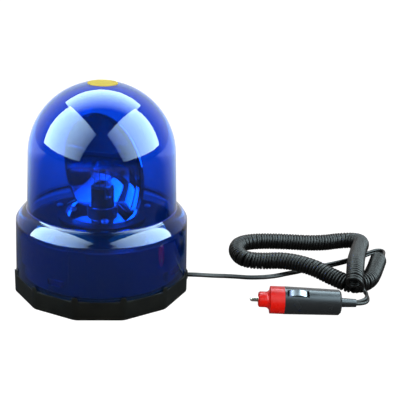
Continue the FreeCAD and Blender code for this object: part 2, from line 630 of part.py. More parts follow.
# ---- gear train ----
def idler_gear():
    wheel = gear(IDLER_WHEEL_TEETH, FAST_MODULE, WHEEL_ADDENDUM[FAST_MODULE], PINION_ADDENDUM,
                 FAST_Z, FAST_W, 180)
    pinion = gear(IDLER_PINION_TEETH, SLOW_MODULE, PINION_ADDENDUM, WHEEL_ADDENDUM[SLOW_MODULE],
                  FAST_Z + FAST_W, pinion_top() - FAST_Z - FAST_W, 180 + 180.0 / IDLER_PINION_TEETH)
    blank = wheel.fuse(pinion).cut(rod(AXLE_R + RUNNING, FAST_Z - 1, TURNTABLE_TOP_Z))
    return about_z(blank.translated(Vector(SLOW_CENTRES, 0, 0)), TRAIN_DEG)


def pinion_top():
    return min(SLOW_Z + SLOW_W, TURNTABLE_TOP_Z - TURNTABLE_T - GAP)


def idler_axle():
    clip_z = pinion_top() + LEVEL_GAP / 2
    axle = rod(AXLE_R, DECK_Z, clip_z + 2 * IDLER_CLIP_T, SLOW_CENTRES)
    clip = ring(2 * AXLE_R, AXLE_R + SNUG, clip_z, clip_z + IDLER_CLIP_T, SLOW_CENTRES)
    clip = clip.cut(block(SLOW_CENTRES, SLOW_CENTRES + 3 * AXLE_R, -AXLE_R / 2, AXLE_R / 2,
                          clip_z - 1, clip_z + 2))
    parts["idler_axle"] = about_z(axle, TRAIN_DEG)
    parts["idler_clip"] = about_z(clip, TRAIN_DEG)


# ---- motor, modelled upright on the axis and then put in its place ----
def motor_place(shape):
    return about_z(shape.translated(Vector(MOTOR_AT, 0, 0)), TRAIN_DEG)


def motor():
    low = DECK_Z - MOTOR_L
    bore_r = MOTOR_R - MOTOR_WALL
    can = rod(MOTOR_R, low, DECK_Z).cut(rod(bore_r, low - 1, DECK_Z - MOTOR_WALL))
    can = can.fuse(rod(MOTOR_BOSS_R, DECK_Z - MOTOR_WALL, DECK_Z + MOTOR_BOSS_H))
    can = can.cut(rod(MOTOR_SHAFT_R + RUNNING, low - 1, DECK_Z + MOTOR_BOSS_H + 1))
    can = can.cut([rod(MOTOR_SCREW_R + SNUG, DECK_Z - 2, DECK_Z + 1, 0, side * MOTOR_SCREW_OFFSET)
                   for side in (-1, 1)])
    parts["motor_can"] = motor_place(can)
    through = low + MOTOR_CAP_T + 1
    cap = rod(bore_r - SNUG, low, low + MOTOR_CAP_T).cut(rod(MOTOR_SHAFT_R + RUNNING, low - 1, through))
    slots = [block(-0.25, 0.25, side * 7.0 - 1.5, side * 7.0 + 1.5, low - 1, through) for side in (-1, 1)]
    parts["motor_end_cap"] = motor_place(cap.cut(slots))
    tabs = [block(-0.25, 0.25, side * 7.0 - 1.5, side * 7.0 + 1.5, low - TERMINAL_L, low + MOTOR_CAP_T)
            for side in (-1, 1)]
    parts["motor_terminals"] = motor_place(Part.makeCompound(tabs))
    armature_z = low + MOTOR_CAP_T + COMMUTATOR_L + 2
    arcs = ring(bore_r - SNUG, bore_r - MOTOR_MAGNET_T, armature_z - 1, armature_z + ARMATURE_L + 1)
    gap_block = block(-4.0, 4.0, -MOTOR_R, MOTOR_R, armature_z - 2, armature_z + ARMATURE_L + 2)
    parts["motor_magnets"] = motor_place(Part.makeCompound(arcs.cut(gap_block).Solids))
    core_r = bore_r - MOTOR_MAGNET_T - ARMATURE_GAP
    slot = rod(core_r * 0.28, armature_z - 1, armature_z + ARMATURE_L + 1, core_r * 0.68)
    mouth = block(core_r * 0.6, core_r + 1, -0.7, 0.7, armature_z - 1, armature_z + ARMATURE_L + 1)
    core = rod(core_r, armature_z, armature_z + ARMATURE_L).cut(around(slot.fuse(mouth), 3))
    parts["motor_armature"] = motor_place(core.cut(rod(MOTOR_SHAFT_R + SNUG, low, DECK_Z)))
    commutator_z = low + MOTOR_CAP_T + 1
    bars = ring(COMMUTATOR_R, MOTOR_SHAFT_R + SNUG, commutator_z, commutator_z + COMMUTATOR_L)
    parts["commutator"] = motor_place(bars)
    brush_z = commutator_z + COMMUTATOR_L / 4
    brush = block(-1.2, 1.2, COMMUTATOR_R + RUNNING, COMMUTATOR_R + 3.5, brush_z, brush_z + COMMUTATOR_L / 2)
    brushes = around(brush, 2)
    parts["motor_brushes"] = motor_place(Part.makeCompound(brushes))
    pinion_end = FAST_Z + FAST_W
    parts["motor_shaft"] = motor_place(rod(MOTOR_SHAFT_R, low - 1, pinion_end + LEVEL_GAP / 4))
    pinion = gear(MOTOR_PINION_TEETH, FAST_MODULE, PINION_ADDENDUM, WHEEL_ADDENDUM[FAST_MODULE],
                  FAST_Z - LEVEL_GAP / 4, FAST_W + LEVEL_GAP / 4, 180.0 / MOTOR_PINION_TEETH)
    parts["motor_pinion"] = motor_place(pinion.cut(rod(MOTOR_SHAFT_R + SNUG, DECK_Z, TURNTABLE_TOP_Z)))
    screws = [pan_screw(MOTOR_SCREW_R, DECK_TOP_Z, DECK_T + MOTOR_WALL, 0, side * MOTOR_SCREW_OFFSET)
              for side in (-1, 1)]
    parts["motor_screws"] = motor_place(Part.makeCompound(screws))


# ---- lead ----
def lead_grommet():
    inside = PAN_R - HOUSING_WALL * 1.5
    outside = BOOT_FLAT_R + GROMMET_STICKS_OUT
    body = Part.makeCylinder(GROMMET_R, outside - inside, Vector(inside, 0, EXIT_Z), X)
    flange = Part.makeCylinder(GROMMET_R + GROMMET_FLANGE, GROMMET_FLANGE, Vector(BOOT_FLAT_R, 0, EXIT_Z), X)
    bore = Part.makeCylinder(LEAD_R + SNUG, BOOT_CORNER_R, Vector(inside - 1, 0, EXIT_Z), X)
    return body.fuse(flange).cut(bore)


def terminal_block():
    """Two-way screw terminal on the housing floor, where the lead ends."""
    length, width, height = TERMINAL_BLOCK
    x1 = LEAD_IN_X
    floor_z = BOOT_FLOOR + HOUSING_WALL
    body = block(x1 - length, x1, -width / 2, width / 2, floor_z, floor_z + height)
    screw_x, screw_z = x1 - length / 2, floor_z + height / 2
    wells = [rod(TERMINAL_SCREW_R + GAP, screw_z, floor_z + height + 1, screw_x, side * width / 4)
             for side in (-1, 1)]
    parts["terminal_block"] = body.cut(wells)
    screws = [rod(TERMINAL_SCREW_R, screw_z, floor_z + height - GAP, screw_x, side * width / 4)
              for side in (-1, 1)]
    parts["terminal_screws"] = Part.makeCompound(screws)


def lead_routes():
    """Points of the lead's two first stretches: from the base to the curls, and the curls themselves."""
    low = LEAD_R + GROUND_GAP
    coil = COIL_R + GROUND_GAP
    over_lead = 2 * LEAD_R + COIL_ABOVE_LEAD + COIL_R
    over_coil = 2 * COIL_R + COIL_ABOVE_COIL + COIL_R
    curly = [(241.0, 34.0, coil), (227.0, 4.5, coil), (216.8, -15.0, coil), (201.0, -20.8, coil),
             (187.0, -8.0, coil + 0.6), (171.0, 4.0, over_lead), (150.0, 17.0, over_lead), (130.0, 27.0, coil),
             (112.0, 33.0, coil), (106.5, 50.0, coil), (117.0, 68.0, coil), (145.0, 73.0, coil),
             (192.0, 70.0, coil), (216.0, 75.0, coil), (230.0, 59.5, over_lead - 0.6), (221.0, 38.0, over_lead),
             (211.0, 8.0, 0.75 * over_coil), (204.5, -13.0, over_coil), (199.0, -30.0, over_coil),
             (195.0, -44.0, 0.75 * over_coil)]
    start, second = Vector(*curly[0]), Vector(*curly[1])
    back = (start - second).normalize() * 12.2
    supply = [(LEAD_IN_X + SNUG, 0.0, EXIT_Z), (78.0, 0.0, EXIT_Z), (92.0, 5.4, 2.8), (107.0, 6.4, low),
              (124.0, 4.7, low), (141.0, 6.8, low), (157.0, 14.4, low), (174.0, 20.3, low), (192.0, 28.4, low),
              (211.0, 37.6, low), (227.0, 48.6, low), (237.5, 57.2, low), (244.0, 62.2, low),
              (249.5, 61.2, low), (251.4, 56.0, low), (start.x + back.x, start.y + back.y, low),
              (start.x, start.y, low)]
    return supply, curly


def tail_route(curly):
    """Points from the last curl's right side down to the plug's strain relief and into it."""
    end, before = Vector(*curly[-1]), Vector(*curly[-2])
    ahead = (end - before).normalize()
    right = ahead.cross(Z).normalize() * -1
    start = end + right * (COIL_R - LEAD_R - SNUG) + ahead * (0.82 * LEAD_R)
    rear_z = PIN_SHOWS + NOSE_L + FLARE_L + COLLAR_L + SHELL_L
    behind = plug_place(Part.Vertex(0, 0, rear_z + RELIEF_L + 3.6 * LEAD_R)).Point
    inside = plug_place(Part.Vertex(0, 0, rear_z - PLUG_WALL / 2)).Point
    return [tuple(start), (204.0, -53.0, 14.5), tuple(behind), tuple(inside)]


# ---- plug, modelled upright from its tip and then laid on the ground ----
def plug_place(shape):
    laid = shape.rotated(Vector(), Y, 90).rotated(Vector(), Z, PLUG_TURN)
    return laid.translated(Vector(PLUG_PLACE[0], PLUG_PLACE[1], PLUG_AXIS_Z))


def plug():
    nose_z = PIN_SHOWS
    flare_z = nose_z + NOSE_L
    collar_z = flare_z + FLARE_L
    shell_z = collar_z + COLLAR_L
    rear_z = shell_z + SHELL_L
    bore_r = PIN_HEAD_R + GAP
    head_z = nose_z + NOSE_WALL
    fuse_z = head_z + PIN_HEAD_L
    spring_z = fuse_z + FUSE_L
    wall_z = spring_z + PLUG_SPRING_L
    nose = turned((0, nose_z), (NOSE_R - 1, nose_z), (NOSE_R, nose_z + 1), (NOSE_R, flare_z),
                  ((NOSE_R + (COLLAR_R - NOSE_R) * 0.3, flare_z + FLARE_L * 0.7), (COLLAR_R, collar_z)),
                  (COLLAR_R, shell_z), (COLLAR_R - PLUG_WALL, shell_z),
                   (COLLAR_R - PLUG_WALL, collar_z + PLUG_WALL),
                  (bore_r, collar_z), (bore_r, head_z), (0, head_z))
    nose = nose.cut(rod(PIN_TIP_R + RUNNING, nose_z - 1, head_z + 1))
    parts["plug_nose"] = plug_place(nose)
    pin = turned((0, 0), ((PIN_TIP_R * 0.7, PIN_TIP_R * 0.3), (PIN_TIP_R, PIN_TIP_R)), (PIN_TIP_R, head_z),
                 (PIN_HEAD_R, head_z), (PIN_HEAD_R, fuse_z), (0, fuse_z))
    parts["plug_tip"] = plug_place(pin)
    caps = [rod(FUSE_R, fuse_z, fuse_z + FUSE_CAP_L), rod(FUSE_R, spring_z - FUSE_CAP_L, spring_z)]
    parts["fuse_caps"] = plug_place(Part.makeCompound(caps))
    glass = ring(FUSE_R - SNUG, FUSE_R * 0.75, fuse_z + FUSE_CAP_L, spring_z - FUSE_CAP_L)
    parts["fuse_glass"] = plug_place(glass)
    spring_r = PIN_HEAD_R - PLUG_SPRING_WIRE / 2
    parts["plug_spring"] = plug_place(coil_spring(spring_r, PLUG_SPRING_WIRE, spring_z, wall_z, PLUG_SPRING_TURNS))
    shell = turned((bore_r, collar_z + 2 * PLUG_WALL), (COLLAR_R - PLUG_WALL - GAP, collar_z + 2 * PLUG_WALL),
                   (COLLAR_R - PLUG_WALL - GAP, shell_z), (PLUG_R, shell_z), (PLUG_REAR_R, rear_z - SHELL_BEVEL),
                   (PLUG_REAR_R - SHELL_BEVEL, rear_z), (0, rear_z), (0, rear_z - PLUG_WALL),
                   (PLUG_REAR_R - 2 * PLUG_WALL, rear_z - PLUG_WALL),
                   (PLUG_REAR_R - 2 * PLUG_WALL, wall_z + PLUG_WALL),
                   (0, wall_z + PLUG_WALL), (0, wall_z), (bore_r, wall_z))
    relief_hole = rod(LEAD_R + 2 * SNUG, rear_z - 2 * PLUG_WALL, rear_z + 1)
    half = SIDE_SPRING_W / 2 + GAP
    window = block(PLUG_R - SIDE_SPRING_DEEP - SIDE_SPRING_PROUD, PLUG_R + 1, -half, half,
                   shell_z + SIDE_SPRING_AT - GAP, shell_z + SIDE_SPRING_AT + SIDE_SPRING_L + GAP)
    shell = shell.cut([relief_hole] + [about_z(window, turn) for turn in side_turns()])
    parts["plug_shell"] = plug_place(shell)
    for name, turn in zip(("upper_side_contact", "lower_side_contact"), side_turns()):
        parts[name] = plug_place(about_z(side_contact(shell_z + SIDE_SPRING_AT), turn))
    relief = turned((LEAD_R + SNUG, rear_z), (RELIEF_R, rear_z), (RELIEF_R * 0.85, rear_z + RELIEF_L),
                    (LEAD_R + SNUG, rear_z + RELIEF_L))
    parts["plug_strain_relief"] = plug_place(relief)


def side_turns():
    """Directions of the two side contacts about the plug's axis; the first is up and towards the front."""
    up = 180.0 + (90.0 - SIDE_SPRING_Z_DEG)
    return up, up - 180.0


def side_contact(z0):
    """Bowed strip of sheet metal in its window, on the +X side of the upright plug."""
    base_r = PLUG_R - SIDE_SPRING_DEEP + GAP
    top_r = PLUG_R + SIDE_SPRING_PROUD
    mid_z, z1 = z0 + SIDE_SPRING_L / 2, z0 + SIDE_SPRING_L
    strip = face_in(upright, (base_r, z0), ((top_r, mid_z), (base_r, z1)), (base_r, z1 - 2 * SIDE_SPRING_T),
                    ((top_r - SIDE_SPRING_T, mid_z), (base_r, z0 + 2 * SIDE_SPRING_T)))
    return strip.translated(Vector(0, -SIDE_SPRING_W / 2, 0)).extrude(Vector(0, SIDE_SPRING_W, 0))


def lead():
    supply, curly = lead_routes()
    parts["supply_lead"] = tube("supply_lead", supply, LEAD_R)
    parts["curly_lead"] = tube("curly_lead", curly, COIL_R)
    parts["plug_lead"] = tube("plug_lead", tail_route(curly), LEAD_R)


def main():
    parts["rubber_boot"] = rubber_boot()
    magnet()
    parts["base_housing"] = base_housing()
    parts["deck_plate"] = deck_plate()
    parts["deck_screws"] = screws_round(DECK_SCREW_R, DECK_TOP_Z, DECK_SCREW_L - 1,
                                        POST_PCR, POSTS, 180.0 / POSTS)
    parts["lens_seal"] = ring(SEAL_OUT_R, SEAL_IN_R, RIM_SEAT_Z, RIM_SEAT_Z + SEAL_T)
    parts["signal_lens"] = signal_lens()
    parts["dome_sticker"] = dome_sticker()
    parts["lamp_post"] = lamp_post()
    parts["post_screws"] = screws_round(FLANGE_SCREW_R, DECK_TOP_Z + FLANGE_T, FLANGE_T + DECK_T,
                                        FLANGE_SCREW_PCR, 2, TRAIN_DEG + 90)
    lamp()
    lamp_contact()
    washer_z = DECK_TOP_Z + FLANGE_T
    parts["thrust_washer"] = ring(HUB_R, TUBE_R + SNUG, washer_z, washer_z + WASHER_T)
    parts["turntable_gear"] = turntable_gear()
    parts["reflector"] = reflector()
    screw = pan_screw(REFLECTOR_SCREW_R, PLATE_TOP_Z, REFLECTOR_PLATE_T + TURNTABLE_T, REFLECTOR_SCREW_PCR, 0)
    parts["reflector_screws"] = Part.makeCompound(by_reflector_screws(screw))
    parts["ring_clip"] = ring_clip()
    parts["idler_gear"] = idler_gear()
    idler_axle()
    motor()
    parts["lead_grommet"] = lead_grommet()
    terminal_block()
    plug()
    lead()
    os.makedirs("parts", exist_ok=True)
    for name, shape in parts.items():
        shape.exportStep(f"parts/{name}.step")


main()
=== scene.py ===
import math
import bpy
import bmesh
import numpy as np
from mathutils import Matrix, Vector


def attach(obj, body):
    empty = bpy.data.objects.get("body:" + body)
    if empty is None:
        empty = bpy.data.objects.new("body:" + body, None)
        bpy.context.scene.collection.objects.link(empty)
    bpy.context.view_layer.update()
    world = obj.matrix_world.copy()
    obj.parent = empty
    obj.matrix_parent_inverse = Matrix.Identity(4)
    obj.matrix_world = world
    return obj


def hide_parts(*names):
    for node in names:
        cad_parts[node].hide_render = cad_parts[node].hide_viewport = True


# Rotating beacon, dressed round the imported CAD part.  Metres.  Origin at the centre of the resting face,
# +Z up, -Y the front.
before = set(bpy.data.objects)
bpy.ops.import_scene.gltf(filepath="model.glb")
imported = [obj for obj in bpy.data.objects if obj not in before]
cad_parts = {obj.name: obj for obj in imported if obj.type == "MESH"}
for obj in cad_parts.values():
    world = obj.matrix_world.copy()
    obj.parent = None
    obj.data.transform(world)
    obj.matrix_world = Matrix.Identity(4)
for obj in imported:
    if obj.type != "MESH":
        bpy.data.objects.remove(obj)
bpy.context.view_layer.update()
MM = 0.001


# ---- camera ----
# A long lens 20 degrees above the table, a little to the left of the front and rolled 2.5 degrees.  It
# stands about 0.65 m from the beacon.
CAMERA_LENS_MM = 75.2
CAMERA_SENSOR_MM = 36.0
CAMERA_NEAREST = 0.01
CAMERA_PLACE = (0.02075, -0.61961, 0.29842)
CAMERA_RIGHT = (0.9963, -0.0749, 0.0416)
CAMERA_UP = (-0.0132, 0.3451, 0.9385)
CAMERA_BACK = (-0.0846, -0.9356, 0.3428)
camera_data = bpy.data.cameras.new("camera")
camera_data.lens = CAMERA_LENS_MM
camera_data.sensor_width = CAMERA_SENSOR_MM
camera_data.clip_start = CAMERA_NEAREST
camera = bpy.data.objects.new("camera", camera_data)
camera_turn = Matrix((CAMERA_RIGHT, CAMERA_UP, CAMERA_BACK)).transposed().to_4x4()
camera.matrix_world = Matrix.Translation(CAMERA_PLACE) @ camera_turn
bpy.context.scene.collection.objects.link(camera)
bpy.context.scene.camera = camera
bpy.context.scene.view_settings.view_transform = "Standard"


# ---- lead ----
# Flat twin flex in black PVC: two cores side by side with a groove between them.  It leaves the base
# straight, lies along the table, then is wound into a springy coil that doubles back over itself and
# ends at the plug.  The route's points are those of the solids.
LEAD_CORE_R = 1.3 * MM
LEAD_HALF = 1.3 * MM           # from the groove to the middle of a core
GROOVE_HALF = 0.3 * MM
CORE_SWEEP_DEG = 150.0         # each core's circle is drawn from minus this to plus this
CORE_POINTS = 10
LEAD_STEP = 1.6 * MM           # between rings where the flex isn't coiled
ROUTE_STEPS = 24               # drawn from each point of a route to the next
WELD_WITHIN = 0.01 * MM
TABLE_GAP = 0.2 * MM
TABLE_TOUCH = 0.05 * MM        # nothing of the flex goes lower
COMES_DOWN = (0.045, 0.07)     # metres along the lead, as in the next two
TURNS_ON_EDGE = (0.11, 0.14)
TURNS_FLAT = (0.24, 0.255)
COIL_APPROACH = 1.0 * MM
COIL_MIDDLE_R = 5.95 * MM
COIL_PITCH = 5.0 * MM
COIL_STEP = 1.9 * MM           # between rings on the coil
COIL_LINE_STEP = 0.12 * MM     # between the places where its turns are worked out
COIL_START_ANGLE = -math.pi / 2
COIL_LAST_TURN = 0.75          # part of a turn past the last whole one
BEND_AT = 0.22                 # the bend that opens the turns, as a share of the way along
BEND_REACH = 0.12
BEND_OPENS = 0.12
WAVER = 0.02                   # share by which the pitch wavers
WAVER_RATE = 260.0             # radians per metre
START_SLACK = 0.8              # share by which the turns slacken within reach of the coil's start
START_REACH = 0.005
END_SLACK = 0.5
END_REACH = 0.004
TAIL_LEAVES = 5.0 * MM
SUPPLY_ROUTE = np.array([
    (54.22, 0.0, 6.4), (66.0, 0.05, 6.4), (78.0, 0.3, 6.0), (92.0, 5.2, 2.8), (107.0, 6.4, 2.05),
    (124.0, 4.7, 2.05), (141.0, 6.8, 2.05), (157.0, 14.4, 2.05), (174.0, 20.3, 2.05), (192.0, 28.4, 2.05),
    (211.0, 37.6, 2.05), (227.0, 48.6, 2.05), (237.5, 56.2, 2.05), (244.0, 60.6, 2.05), (249.8, 60.4, 2.05),
    (250.4, 55.5, 2.05), (247.0, 47.0, 2.05), (245.0, 39.0, 2.05), (238.5, 33.0, 2.05)]) * MM
COIL_ROUTE = np.array([
    (238.5, 33.0, 7.3), (226.5, 5.0, 7.3), (216.5, -14.0, 7.3), (202.0, -21.5, 7.3), (188.5, -9.0, 8.5),
    (172.5, 4.5, 12.4), (152.0, 18.5, 11.5), (134.0, 25.0, 7.3), (118.5, 29.0, 7.3), (114.0, 48.0, 7.3),
    (121.5, 66.0, 7.3), (148.0, 70.5, 7.3), (191.0, 64.5, 7.3), (218.0, 74.0, 7.3), (230.5, 60.5, 11.5),
    (221.0, 37.0, 13.5), (211.0, 8.0, 18.0), (204.5, -13.0, 22.4), (200.0, -30.0, 21.4),
    (197.5, -40.0, 17.4)]) * MM
TAIL_ROUTE = np.array([(206.5, -47.0, 12.0), (203.5, -57.0, 11.4), (192.5, -60.8, 11.38),
                       (180.6, -58.9, 11.38)]) * MM


class Wire:
    """A socket of a node tree; maths between it and numbers or other wires adds Math nodes."""

    def __init__(self, nodes, socket):
        self.nodes = nodes
        self.socket = socket

    def maths(self, operation, left, right):
        return self.nodes.node("ShaderNodeMath", {"operation": operation}, {0: left, 1: right})

    def __add__(self, other):
        return self.maths("ADD", self, other)

    def __sub__(self, other):
        return self.maths("SUBTRACT", self, other)

    def __rsub__(self, other):
        return self.maths("SUBTRACT", other, self)

    def __mul__(self, other):
        return self.maths("MULTIPLY", self, other)

    __radd__ = __add__
    __rmul__ = __mul__


class Nodes:
    """The node tree of a material, a lamp or the world."""

    def __init__(self, tree):
        self.tree = tree

    def feed(self, node, key, value):
        """Joins a wire to a node's socket, or sets the socket to a value."""
        if isinstance(value, Wire):
            self.tree.links.new(value.socket, node.inputs[key])
        else:
            node.inputs[key].default_value = value

    def node(self, kind, settings, sockets, output=0):
        """Adds a node: its settings first, a ramp's stops among them, then its sockets' values or wires."""
        node = self.tree.nodes.new(kind)
        for key, value in settings.items():
            if key == "stops":
                elements = node.color_ramp.elements
                for _ in value[2:]:
                    elements.new(0.5)
                for element, (position, colour) in zip(elements, value):
                    element.position = position
                    element.color = (*colour, 1.0)
            else:
                setattr(node, key, value)
        for key, value in sockets.items():
            self.feed(node, key, value)
        return Wire(self, node.outputs[output])


class Finish(Nodes):
    """A node material round one Principled shader.  A constant goes on the shader's own socket."""

    def __init__(self, name, **sockets):
        self.material = bpy.data.materials.new(name)
        self.material.use_nodes = True
        super().__init__(self.material.node_tree)
        self.shader = self.tree.nodes["Principled BSDF"]
        for key, value in sockets.items():
            self.vary(key.replace("_", " "), value)

    def vary(self, socket, value):
        self.feed(self.shader, socket, value)

    def place(self):
        return self.node("ShaderNodeTexCoord", {}, {}, "Object")

    def noise(self, scale, detail=3.0, stretch=(1.0, 1.0, 1.0)):
        """Noise on Object coordinates, stretched along an axis where its scale there is small."""
        spot = self.node("ShaderNodeMapping", {}, {"Vector": self.place(), "Scale": stretch})
        return self.node("ShaderNodeTexNoise", {}, {"Vector": spot, "Scale": scale, "Detail": detail})

    def ramp(self, share, *stops):
        return self.node("ShaderNodeValToRGB", {"stops": stops}, {0: share})

    def bump(self, height, distance, strength=1.0):
        sockets = {"Height": height, "Distance": distance, "Strength": strength}
        self.vary("Normal", self.node("ShaderNodeBump", {}, sockets))


def grid_quads(rows, columns, rows_join):
    """Corners of the quads between neighbouring points of a grid; columns join up, and rows may."""
    r = np.arange(rows if rows_join else rows - 1)[:, None]
    c = np.arange(columns)[None, :]
    next_r, next_c = (r + 1) % rows, (c + 1) % columns
    corners = (r * columns + c, r * columns + next_c, next_r * columns + next_c, next_r * columns + c)
    return np.stack(np.broadcast_arrays(*corners), axis=-1).reshape(-1, 4)


def make_piece(name, points, faces, finish, body, crease):
    """One mesh object from points and faces, welded where rows meet in a pole.  It shades smooth, but for
    edges whose faces turn by more than the crease, in radians."""
    data = bpy.data.meshes.new(name)
    data.from_pydata(points.reshape(-1, 3).tolist(), [], faces)
    skin = bmesh.new()
    skin.from_mesh(data)
    bmesh.ops.remove_doubles(skin, verts=skin.verts, dist=WELD_WITHIN)
    bmesh.ops.recalc_face_normals(skin, faces=skin.faces)
    skin.to_mesh(data)
    skin.free()
    data.polygons.foreach_set("use_smooth", np.ones(len(data.polygons), bool))
    data.set_sharp_from_angle(angle=crease)
    data.materials.append(finish.material)
    piece = bpy.data.objects.new(name, data)
    bpy.context.scene.collection.objects.link(piece)
    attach(piece, body)
    return piece


def route_line(route):
    """Points along the smooth NURBS line of a route."""
    curve = bpy.data.curves.new("route", "CURVE")
    curve.dimensions = "3D"
    curve.resolution_u = ROUTE_STEPS
    spline = curve.splines.new("NURBS")
    spline.points.add(len(route) - 1)
    spline.points.foreach_set("co", np.insert(route, 3, 1.0, axis=1).ravel())
    spline.order_u = 3
    spline.use_endpoint_u = True
    holder = bpy.data.objects.new("route", curve)
    mesh = bpy.data.meshes.new_from_object(holder)
    line = np.empty(3 * len(mesh.vertices), np.float32)
    mesh.vertices.foreach_get("co", line)
    bpy.data.objects.remove(holder)
    return line.reshape(-1, 3).astype(float)


def distance_along(line):
    """How far along a line each of its points lies: the lengths between points, added up."""
    return np.concatenate([[0.0], np.cumsum(np.linalg.norm(np.diff(line, axis=0), axis=1))])


def evenly(line, step):
    """The line again with its points a step apart, and how far along it each lies."""
    along = distance_along(line)
    at = np.linspace(0.0, along[-1], max(2, round(along[-1] / step) + 1))
    return np.stack([np.interp(at, along, line[:, k]) for k in range(3)], axis=1), at


def unit(vectors):
    """Each vector divided by its length."""
    return vectors / np.linalg.norm(vectors, axis=-1, keepdims=True)


def ahead_of(line):
    """The way the line goes at each point: from the point before to the point after."""
    return unit(np.gradient(line, axis=0))


def beside(ahead):
    """Square to the way ahead: sideways along the table, and over it."""
    side = unit(np.cross(ahead, (0.0, 0.0, 1.0)))
    return side, np.cross(side, ahead)


def ease(x, start, end):
    """0 before start, 1 after end and 3t^2 - 2t^3 between them."""
    t = np.clip((x - start) / (end - start), 0.0, 1.0)
    return t * t * (3.0 - 2.0 * t)


def hump(x, middle, reach):
    """1 at the middle, falling off as exp(-((x - middle) / reach)^2)."""
    return np.exp(-((x - middle) / reach) ** 2)


def coil_line():
    """The coil's own line: core(s) + R (cos a(s) side(s) + sin a(s) over(s)), where a grows by a turn per
    pitch.  The turns open a little at the bend and at both ends, where the flex runs straight on."""
    core, at = evenly(route_line(COIL_ROUTE), COIL_LINE_STEP)
    side, over = beside(ahead_of(core))
    long = at[-1]
    opened = BEND_OPENS * hump(at / long, BEND_AT, BEND_REACH)
    pitch = COIL_PITCH * (1.0 + opened + WAVER * np.sin(at * WAVER_RATE))
    start_slack = START_SLACK * hump(at, 0.0, START_REACH)
    end_slack = END_SLACK * hump(at, long, END_REACH)
    rate = (1.0 - start_slack - end_slack) / pitch
    turns = np.concatenate([[0.0], np.cumsum((rate[1:] + rate[:-1]) / 2 * np.diff(at))])
    whole_turns = round(turns[-1])
    angle = COIL_START_ANGLE + turns / turns[-1] * 2 * math.pi * (whole_turns + COIL_LAST_TURN)
    outward = np.cos(angle)[:, None] * side + np.sin(angle)[:, None] * over
    line = core + COIL_MIDDLE_R * outward
    gone = distance_along(line)
    picks = np.unique(np.searchsorted(gone, np.arange(0.0, gone[-1], COIL_STEP)))
    return line[picks], outward[picks]


def supply_line(coil):
    """The lead from the base to the coil, and the way through its thickness, sin e side - cos e over.  It
    comes down to lie on the table, stands on edge (e a right angle) as it winds, and turns flat again."""
    route = SUPPLY_ROUTE.copy()
    route[-1] = coil[0] - COIL_APPROACH * ahead_of(coil)[0]
    line, at = evenly(route_line(route), LEAD_STEP)
    on_edge = math.pi / 2 * (ease(at, *TURNS_ON_EDGE) - ease(at, *TURNS_FLAT))
    lying = LEAD_CORE_R + LEAD_HALF * np.abs(np.sin(on_edge)) + TABLE_GAP
    down = ease(at, *COMES_DOWN)
    line[:, 2] = line[:, 2] * (1 - down) + np.minimum(line[:, 2], lying) * down
    side, over = beside(ahead_of(line))
    return line, np.sin(on_edge)[:, None] * side - np.cos(on_edge)[:, None] * over


def tail_line(coil, outward):
    """The flex from the coil to the plug, and the way through its thickness, which goes over from the
    coil's outward way to upright: (1 - share) outward + share up."""
    leaving = coil[-1] + TAIL_LEAVES * ahead_of(coil)[-1]
    route = np.concatenate([[coil[-1], leaving], TAIL_ROUTE])
    line = evenly(route_line(route), LEAD_STEP)[0][1:]
    share = np.linspace(0.0, 1.0, len(line))[:, None]
    return line, (1 - share) * outward[-1] + share * np.array((0.0, 0.0, 1.0))


def flex_section():
    """Section of the flex: two circles side by side, each open towards the other, with a groove point above
    and below where they meet.  Gives the distances across and through."""
    turn = np.radians(np.linspace(-CORE_SWEEP_DEG, CORE_SWEEP_DEG, CORE_POINTS))
    across = np.concatenate([[0.0], LEAD_HALF + LEAD_CORE_R * np.cos(turn),
                             [0.0], -LEAD_HALF - LEAD_CORE_R * np.cos(turn)])
    through = np.concatenate([[-GROOVE_HALF], LEAD_CORE_R * np.sin(turn),
                              [GROOVE_HALF], -LEAD_CORE_R * np.sin(turn)])
    return across, through


def flex_rings(line, thick):
    """Rings line + across wide + through thick, with thick made square to the way ahead and wide square to
    both.  Where a ring would dip into the table it is pressed flat on it."""
    ahead = ahead_of(line)
    thick = unit(thick - (thick * ahead).sum(1)[:, None] * ahead)
    wide = np.cross(ahead, thick)
    across, through = flex_section()
    rings = line[:, None] + across[:, None] * wide[:, None] + through[:, None] * thick[:, None]
    rings[..., 2] = np.maximum(rings[..., 2], TABLE_TOUCH)
    return rings


coil, coil_outward = coil_line()
supply, supply_thick = supply_line(coil)
tail, tail_thick = tail_line(coil, coil_outward)
flex_line = np.concatenate([supply[:-1], coil, tail])
flex_thick = np.concatenate([supply_thick[:-1], coil_outward, tail_thick])
flex_points = flex_rings(flex_line, flex_thick)
ring_count, ring_size = flex_points.shape[:2]
first_ring = np.arange(ring_size)
last_ring = (ring_count - 1) * ring_size + first_ring
flex_ends = [first_ring[::-1].tolist(), last_ring.tolist()]
flex_faces = grid_quads(ring_count, ring_size, False).tolist() + flex_ends

black_pvc = Finish("black_pvc", Base_Color=(0.005, 0.005, 0.005, 1.0), Specular_IOR_Level=0.24,
                   Specular_Tint=(1.0, 0.92, 0.84, 1.0))
black_pvc.vary("Roughness", 0.25 + 0.16 * black_pvc.noise(260.0))
black_pvc.bump(black_pvc.noise(900.0, 4.0), 0.00006)
flex = make_piece("twin_flex", flex_points, flex_faces, black_pvc, "base", crease=1.2)
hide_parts("supply_lead", "curly_lead", "plug_lead")


